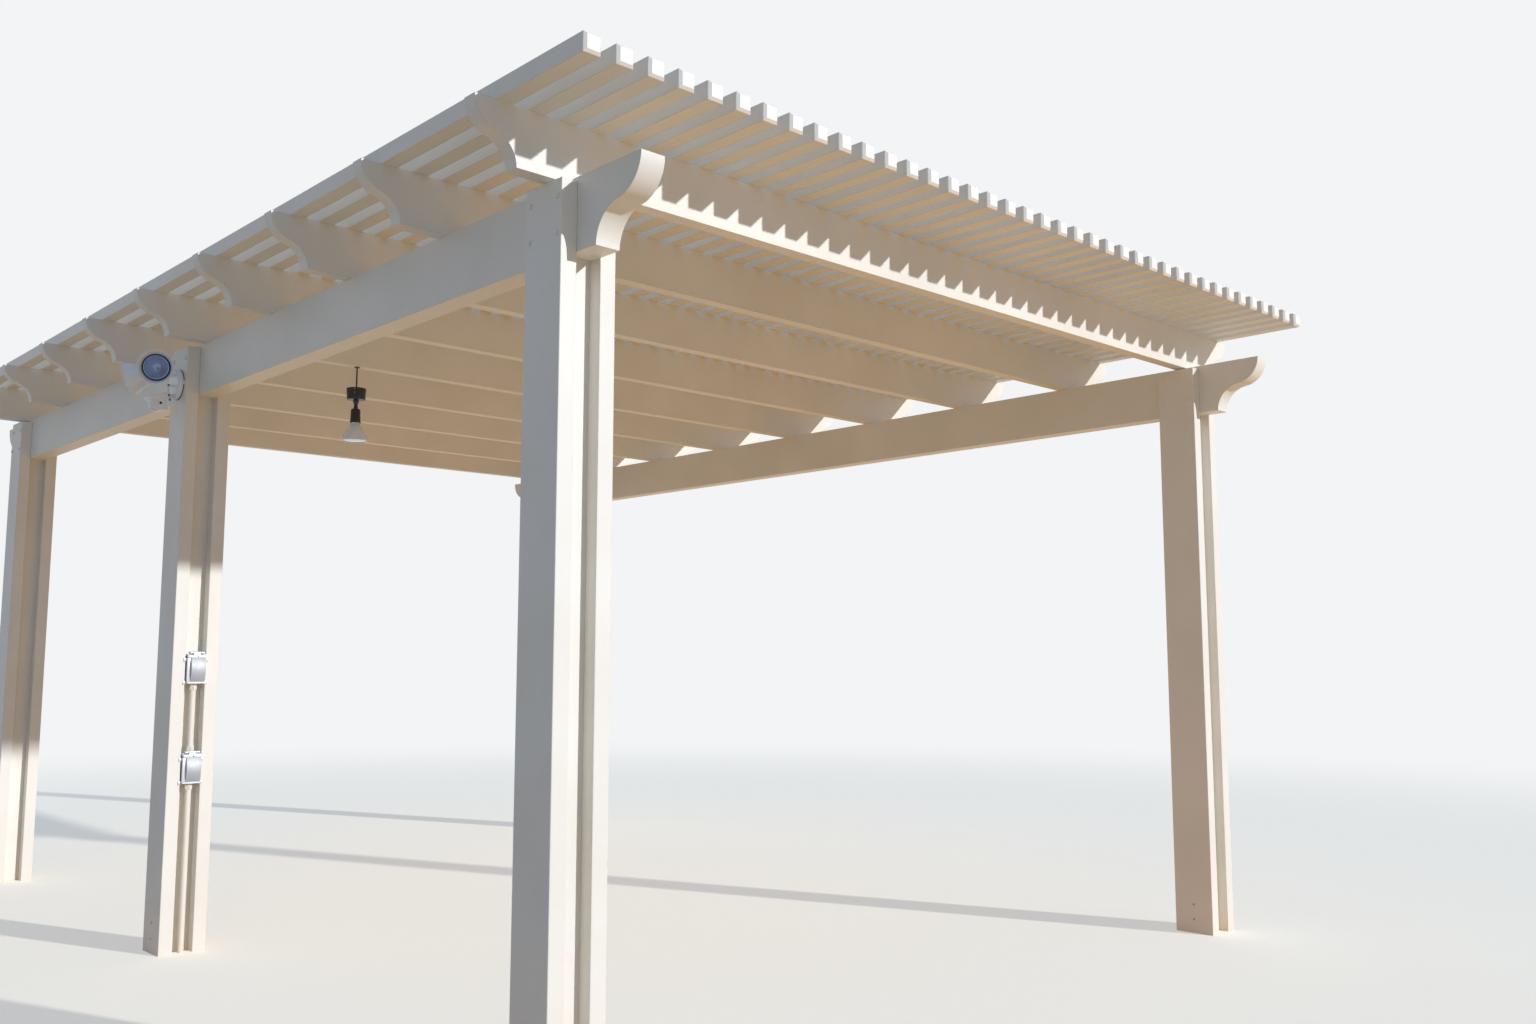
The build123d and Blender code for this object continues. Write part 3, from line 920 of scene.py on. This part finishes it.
cover = {
    "width": 72.0,
    "height": 112.0,
    "rim": 5.5,            # the flat frame's depth
    "rimEdge": 1.6,
    "wall": 2.0,
    "hollow": 0.7,         # of the frame's depth
    "hollowArea": 0.003,   # square metres: only the large faces have more
    "crown": 11.5,         # how far the flap bows out of the frame
    "cheek": 13.0,         # the flat strip that shows on the flap's -Y side
    "cheekRight": 4.0,
    "flapEnd": 7.0,        # from the cover's top and bottom to the flap
    "flapSink": 1.0,
    "flapEdge": 0.8,
    "barHeight": 13.0,
    "barDepth": 9.0,
    "barWidth": 70.0,
    "barDrop": 1.0,
    "barEdge": 1.2,
    "start": 1.0,          # bar and lip begin this far from the box
    "lip": 4.0,
    "lipDepth": 8.5,
    "lipEdge": 1.0,
    "knobRadius": 4.5,
    "knobWidth": 30.0,
    "knobEdge": 0.6,
    "strapStart": 0.5,
    "strapHalf": 14.6,
    "strapDrop": 4.0,      # down over the bar
    "screw": (4.0, 7.0),   # aside from the middle, and below the top
    "screwSink": 0.1,
}
tab = {
    "width": 11.0,
    "overlap": 1.0,        # under the box
    "height": 14.0,
    "thickness": 3.0,
    "edge": 1.2,
    "boxMiddle": 57.0,     # above the box's lower end
    "rises": (33.0, -56.0),
}
coverScrew = {
    "radius": 2.6,
    "rise": 1.4,
    "rim": 0.8,
    "dome": ((0.3, 0.6), (0.3, 0.4)),
    "sides": 14,
}


def coverTray():
    # a shallow tray, open at the back
    size = cover
    half = size["height"] / 2
    wide = size["width"] / 2
    tray = block((0, -wide, -half), (size["rim"], wide, half), size["rimEdge"])
    editFaces(tray, lambda face: face.normal.x < -straight and face.calc_area() > size["hollowArea"])
    bpy.ops.mesh.inset(thickness=size["wall"] * millimetre)
    inwards = (size["hollow"] * size["rim"] * millimetre, 0, 0)
    bpy.ops.mesh.extrude_region_move(TRANSFORM_OT_translate={"value": inwards})
    objectMode()
    return tray


def coverFlap():
    # an arc of the cover's height that stands out in the middle
    size = cover
    end = size["height"] / 2 - size["flapEnd"]
    radius = (end ** 2 + size["crown"] ** 2) / (2 * size["crown"])
    sweep = math.degrees(math.asin(end / radius))
    bow = arc((size["rim"] + size["crown"] - radius, 0), radius, -sweep, sweep, 24)
    foot = size["rim"] - size["flapSink"]
    flapWidth = size["width"] - size["cheek"] - size["cheekRight"]
    flap = sideShape([(foot, -end), *bow, (foot, end), (foot, -end)], flapWidth, size["flapEdge"])
    return placed(flap, moved(0, (size["cheek"] - size["cheekRight"]) / 2, 0))


def makeCover(level):
    size = cover
    body = f"lid_{level}"
    low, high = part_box(f"outlet_lid_{level}")
    half = size["height"] / 2
    centre = low.z + half * millimetre
    place = Matrix.Translation((low.x, (low.y + high.y) / 2, centre))
    tray = coverTray()
    flap = coverFlap()
    # the bar at the top with its knuckle and strap, and the lip at the bottom
    start = size["start"]
    wide = size["barWidth"] / 2
    barLow = (start, -wide, half - size["barHeight"])
    bar = block(barLow, (size["barDepth"], wide, half - size["barDrop"]), size["barEdge"])
    lip = block((start, -wide, -half), (size["lipDepth"], wide, -half + size["lip"]), size["lipEdge"])
    hinge = Vector(joints[f"lid_{level}_lift"]["pos_m"])
    hingeX = (hinge.x - low.x) / millimetre
    hingeZ = (hinge.z - centre) / millimetre
    knob = roundDisc(size["knobRadius"], size["knobWidth"], size["knobEdge"], 28)
    knob = placed(knob, moved(hingeX, size["knobWidth"] / 2, hingeZ) @ turned(90, "X"))
    strapWide = size["strapHalf"]
    strapLow = (size["strapStart"], -strapWide, half - size["strapDrop"])
    strap = block(strapLow, (2 * hingeX - start, strapWide, hingeZ), size["lipEdge"])
    shell = placed(joined([tray, bar, lip, knob, strap]), place)
    finishPiece(shell, f"cover_frame_{level}", body, castZinc)
    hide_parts(f"outlet_lid_{level}")
    finishPiece(placed(flap, place), f"cover_flap_{level}", body, flapAluminium)
    aside, drop = size["screw"]
    screwPlace = place @ moved(size["barDepth"] - size["screwSink"], aside, half - drop) @ turned(90, "Y")
    screw = placed(roundHead(coverScrew), screwPlace)
    finishPiece(screw, f"cover_screw_{level}", body, blackRubber)


def makeMountingTabs():
    # flat ears that carry each box on the faces of the two plates
    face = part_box("post_front_middle_outer_plate")[1].x
    half = tab["width"] / 2
    places = []
    for level in ("upper", "lower"):
        boxLow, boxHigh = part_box(f"outlet_box_{level}")
        middle = (boxLow.y + boxHigh.y) / 2
        centre = boxLow.z + tab["boxMiddle"] * millimetre
        for side in (-1, 1):
            for rise in tab["rises"]:
                y = middle + side * ((boxHigh.y - boxLow.y) / 2 + half * millimetre)
                places.append(Matrix.Translation((face, y, centre + rise * millimetre)))
    wide = half + tab["overlap"]
    tall = tab["height"] / 2
    plate = block((0, -wide, -tall), (tab["thickness"], wide, tall), tab["edge"])
    screw = placed(roundHead(coverScrew), moved(tab["thickness"], 0, 0) @ turned(90, "Y"))
    finishPiece(copies(joined([plate, screw]), places), "mounting_tabs", "frame", castZinc)


for level in ("upper", "lower"):
    makeCover(level)
makeMountingTabs()
print("outlet covers made")

# Hung lamp: round box with its jointed stem, tapered holder and a half-clear reflector lamp

hung = {
    "drumTop": 41.0,
    "drumBottom": 38.5,
    "drumHeight": 50.0,
    "drumEdge": 4.5,
    "topEdge": 0.6,            # share of the drum's lower edge
    "drumSides": 64,
    "collar": 11.5,
    "collarHeight": 16.0,
    "collarStep": (2.0, 3.0),  # in and up at the collar's lower edge
    "stem": 8.0,
    "stemHeight": 40.0,
    "nut": (1.2, 7.0, 9.0),    # out from the stem, and the heights where it stops and fades
    "holderTop": 19.5,
    "holderMouth": 21.5,
    "holderHeight": 60.0,
    "holderEdge": 4.0,
    "holderSides": 56,
    "seat": (17.8, 2.0),       # radius and depth of the hollow for the lamp
    "lip": 23.0,
    "lipHeight": 7.0,
    "lipEdges": (1.0, 1.5),
    "lipRise": 0.5,
    "screws": ((40.2, 8.0), (39.4, 23.0)),    # from the axis, and below the drum's top
    "screwTurn": 54.0,
}
hungLamp = {
    "seat": 0.0,
    "baseRadius": 17.5,
    "collar": 3.0,
    "rimRadius": 54.0,
    "rim": 10.0,
    "front": 78.0,
    "dome": 4.0,
    "wall": 1.6,
    "fullness": 0.02,
    "burnerRadius": 9.0,
    "burnerTop": 30.0,
    "shadeGasket": 0.0,
}


def makeHungDrum():
    size = hung
    low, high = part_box("pendant_drum")
    centre = (low + high) / 2
    height = size["drumHeight"]
    edge = size["drumEdge"]
    lower = arc((size["drumBottom"] - edge, -height + edge), edge, -90, 0, 6)
    edge *= size["topEdge"]
    upper = arc((size["drumTop"] - edge, -edge), edge, 0, 90, 5)
    stem = size["stem"]
    end = -height - size["stemHeight"]
    out, full, faded = size["nut"]
    outline = [(0, end), (stem + out, end), (stem + out, end + full), (stem, end + faded)]
    collar = size["collar"]
    end = -height - size["collarHeight"]
    inwards, upwards = size["collarStep"]
    outline += [(stem, end - upwards), (collar - inwards, end), (collar, end + upwards), (collar, -height)]
    place = Matrix.Translation((centre.x, centre.y, high.z))
    drum = placed(spunShape([*outline, *lower, *upper, (0, 0)], size["drumSides"]), place)
    finishPiece(drum, "hung_drum", "frame", blackEnamel)
    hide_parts("pendant_drum")
    # two small screws in the drum's side, one above the other
    screws = []
    for radius, drop in size["screws"]:
        side = place @ turned(size["screwTurn"], "Z") @ moved(0, -radius, -drop)
        screws.append(side @ turned(90, "X"))
    finishPiece(copies(roundHead(coverScrew), screws), "hung_screws", "frame", platedScrew)


def makeHungHolder():
    size = hung
    low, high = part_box("pendant_holder")
    place = Matrix.Translation(((low.x + high.x) / 2, (low.y + high.y) / 2, low.z))
    height = size["holderHeight"]
    edge = size["holderEdge"]
    top = arc((size["holderTop"] - edge, height - edge), edge, 0, 90, 5)
    seat, depth = size["seat"]
    lip = size["lip"]
    lipTop = size["lipHeight"]
    small, large = size["lipEdges"]
    outline = [(0, depth), (seat, depth), (seat, 0), (lip - small, 0), (lip, small)]
    outline += [(lip, lipTop - large), (lip - large, lipTop), (size["holderMouth"], lipTop + size["lipRise"])]
    holder = placed(spunShape([*outline, *top, (0, height)], size["holderSides"]), place)
    finishPiece(holder, "hung_holder", "frame", blackEnamel)
    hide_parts("pendant_holder")
    names = {"node": "pendant_lamp", "bowl": "hung_bowl", "glass": "hung_glass", "burner": "hung_burner"}
    makeLamp(hungLamp, place @ turned(180, "X"), "frame", names, milkyGlass)


makeHungDrum()
makeHungHolder()
print("hung lamp made")

# Floor, light and camera

stage = {
    "floorSize": 60.0,
    "floorRoughness": 0.9,
    "paving": "EDB977",            # warm ground under the roof, which lights it from below
    "pavingGlow": 0.17,
    "front": "C6B69D",             # cooler ground in front of the posts
    "frontEdge": (-2.3, -1.3),     # where one goes over to the other, metres along Y
    "shownFloor": "F3E9D4",        # what the camera, metal and glass see of either
    "lift": 0.36,
    "fade": (5.5, 13.0),           # where the floor goes over to the background, metres from the middle
    "sky": "B7D0F6",
    "skyStrength": 0.46,
    "background": "F3F4F5",
    "sunColour": "F4F9FF",
    "sunStrength": 2.88,
    "sunHeight": 18.4,             # degrees above the floor
    "sunTurn": 20.4,               # degrees from +X towards +Y
    "sunSoftness": 1.2,            # degrees across the sun's disc
}


def shownRays(tree):
    # 1 where the pale ground and background show: to the camera, in metal and through glass
    path = addNode(tree, "ShaderNodeLightPath").outputs
    shown = path["Is Camera Ray"]
    for kind in ("Is Glossy Ray", "Is Transmission Ray"):
        shown = addNode(tree, "ShaderNodeMath", {"operation": "MAXIMUM"}, i0=shown, i1=path[kind]).outputs[0]
    return shown


def litGround(tree, shader, place):
    # the ground as a source of light: warm under the roof and cooler in front
    shader.inputs["Roughness"].default_value = stage["floorRoughness"]
    depth = addNode(tree, "ShaderNodeSeparateXYZ", Vector=place).outputs["Y"]
    inside = mapped(tree, depth, stage["frontEdge"])
    ground = mixColours(tree, inside, hexColour(stage["front"]), hexColour(stage["paving"]))
    tree.links.new(ground, shader.inputs["Base Color"])
    glow = addNode(tree, "ShaderNodeMath", {"operation": "MULTIPLY"}, i0=inside, i1=stage["pavingGlow"])
    warm = addNode(tree, "ShaderNodeEmission", Color=hexColour(stage["paving"]), Strength=glow.outputs[0])
    return addNode(tree, "ShaderNodeAddShader", i0=shader.outputs[0], i1=warm.outputs[0]).outputs[0]


def shownGround(tree, place):
    # the pale floor with the shadow, which fades into the background
    background = hexColour(stage["background"])
    floor = addNode(tree, "ShaderNodeBsdfDiffuse", Color=hexColour(stage["shownFloor"]))
    lift = addNode(tree, "ShaderNodeEmission", Color=background, Strength=stage["lift"])
    pale = addNode(tree, "ShaderNodeAddShader", i0=floor.outputs[0], i1=lift.outputs[0])
    far = addNode(tree, "ShaderNodeEmission", Color=background, Strength=1.0)
    distance = addNode(tree, "ShaderNodeVectorMath", {"operation": "LENGTH"}, i0=place).outputs["Value"]
    fade = mapped(tree, distance, stage["fade"], settings={"interpolation_type": "SMOOTHSTEP"})
    return addNode(tree, "ShaderNodeMixShader", i0=fade, i1=pale.outputs[0], i2=far.outputs[0]).outputs[0]


def makeFloor():
    bpy.ops.mesh.primitive_plane_add(size=stage["floorSize"], location=(0, 0, 0))
    floor = bpy.context.active_object
    floor.name = "floor"
    material, tree, shader, place = newMaterial("pale_floor")
    lit = litGround(tree, shader, place)
    mix = addNode(tree, "ShaderNodeMixShader", i0=shownRays(tree), i1=lit, i2=shownGround(tree, place))
    tree.links.new(mix.outputs[0], tree.nodes["Material Output"].inputs["Surface"])
    floor.data.materials.append(material)


def makeLight():
    fall = math.radians(90 - stage["sunHeight"])
    bpy.ops.object.light_add(type="SUN", rotation=(0, fall, math.radians(stage["sunTurn"])))
    sun = bpy.context.active_object.data
    sun.energy = stage["sunStrength"]
    sun.angle = math.radians(stage["sunSoftness"])
    sun.color = hexColour(stage["sunColour"])[:3]
    world = bpy.data.worlds.new("studio")
    bpy.context.scene.world = world
    world.use_nodes = True
    tree = world.node_tree
    sky = tree.nodes["Background"]
    sky.inputs["Color"].default_value = hexColour(stage["sky"])
    sky.inputs["Strength"].default_value = stage["skyStrength"]
    seen = addNode(tree, "ShaderNodeBackground", Color=hexColour(stage["background"]), Strength=1.0)
    mix = addNode(tree, "ShaderNodeMixShader", i0=shownRays(tree), i1=sky.outputs[0], i2=seen.outputs[0])
    tree.links.new(mix.outputs[0], tree.nodes["World Output"].inputs["Surface"])


camera = {
    "place": (5.2970, -3.6274, 1.1091),    # metres
    "angles": (96.45, 0.0, 46.3),          # degrees: 6.45 above level, turned from looking along +Y
    "lens": 31.13,
    "film": 36.0,                          # mm wide
}


def makeCamera():
    angles = [math.radians(angle) for angle in camera["angles"]]
    bpy.ops.object.camera_add(location=camera["place"], rotation=angles)
    view = bpy.context.active_object
    view.data.lens = camera["lens"]
    view.data.sensor_width = camera["film"]
    bpy.context.scene.camera = view


makeFloor()
makeLight()
makeCamera()
bpy.context.scene.view_settings.view_transform = "Standard"

print("scene ready")
